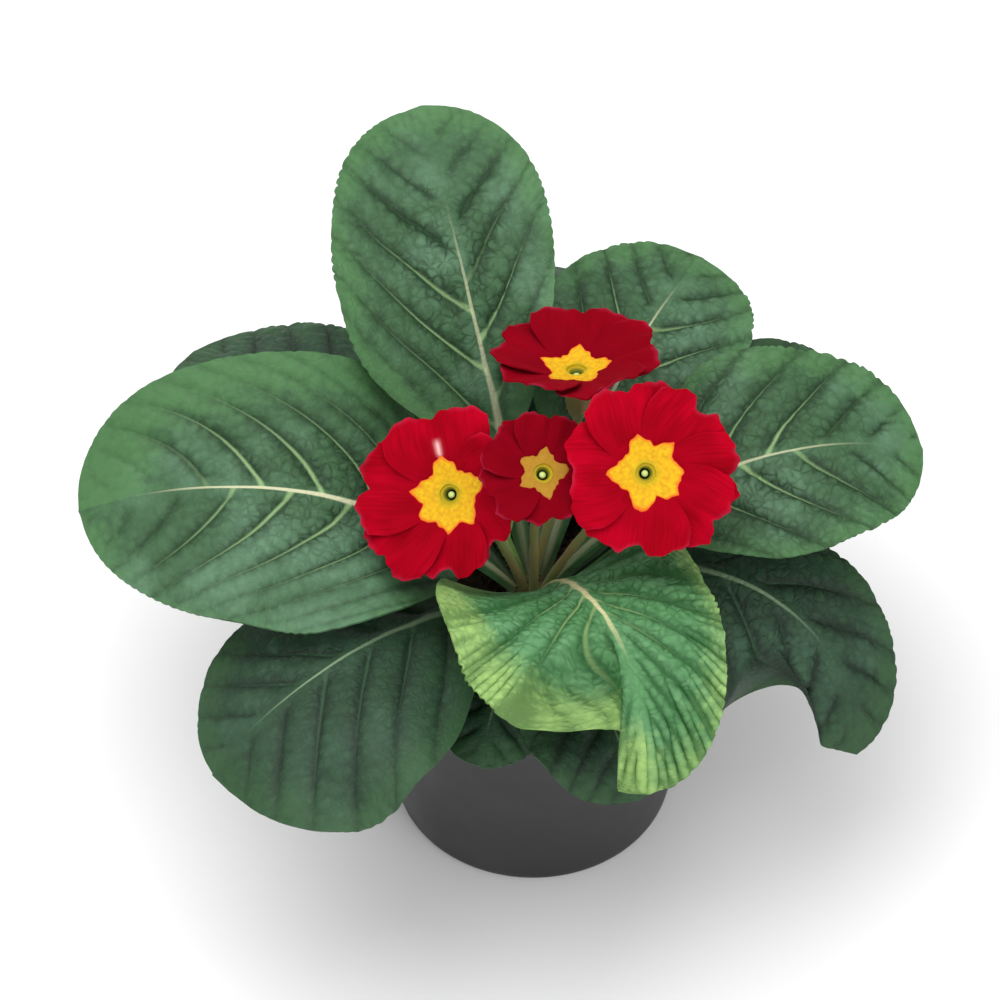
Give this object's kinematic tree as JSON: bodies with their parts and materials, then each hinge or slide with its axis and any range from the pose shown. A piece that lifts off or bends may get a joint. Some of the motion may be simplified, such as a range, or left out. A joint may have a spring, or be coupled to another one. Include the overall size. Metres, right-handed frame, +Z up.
{
  "type": "potted primrose",
  "caption": "Rosette of broad crinkled leaves with wavy toothed margins under red, yellow-eyed flowers, growing from compost in a round tapered nursery pot.",
  "frame": {"origin": "centre of the pot's flat base, on the surface that the pot stands on", "axes": "+Z up, -Y towards the front of the plant, which is the side that most of its flowers face, +X to its right"},
  "size_m": [0.2236, 0.2043, 0.1527],
  "materials": {
    "pot": "satin black moulded plastic",
    "compost": "matt, crumbly, dark brown peat",
    "rootstock": "matt, fleshy, pale brown",
    "leaf": "soft, netted with sunk veins, dull sheen",
    "young_leaf": "soft, netted with sunk veins, fresh yellow-green",
    "petals": "velvety deep red",
    "eye": "satin yellow",
    "stalk": "downy olive green",
    "pistil": "moist pale green"
  },
  "bodies": {
    "root": {"pot": "pot", "compost": "compost", "rootstock": "rootstock", "leaf_outer_front_left": "leaf", "leaf_outer_front_low": "leaf", "leaf_outer_front": "leaf", "leaf_outer_front_right": "leaf", "leaf_outer_right": "leaf", "leaf_outer_back_right": "leaf", "leaf_outer_back_left": "leaf", "leaf_upper_left": "leaf", "leaf_upper_back": "leaf", "leaf_upper_back_right": "leaf", "leaf_upper_front": "young_leaf", "leaf_upper_right": "leaf", "leaf_inner": "young_leaf", "flower_right_petals": "petals", "flower_right_eye": "eye", "flower_right_pistil": "pistil", "flower_right_stalk": "stalk", "flower_left_petals": "petals", "flower_left_eye": "eye", "flower_left_pistil": "pistil", "flower_left_stalk": "stalk", "flower_middle_petals": "petals", "flower_middle_eye": "eye", "flower_middle_pistil": "pistil", "flower_middle_stalk": "stalk", "flower_back_petals": "petals", "flower_back_eye": "eye", "flower_back_pistil": "pistil", "flower_back_stalk": "stalk"}
  },
  "joints": []
}
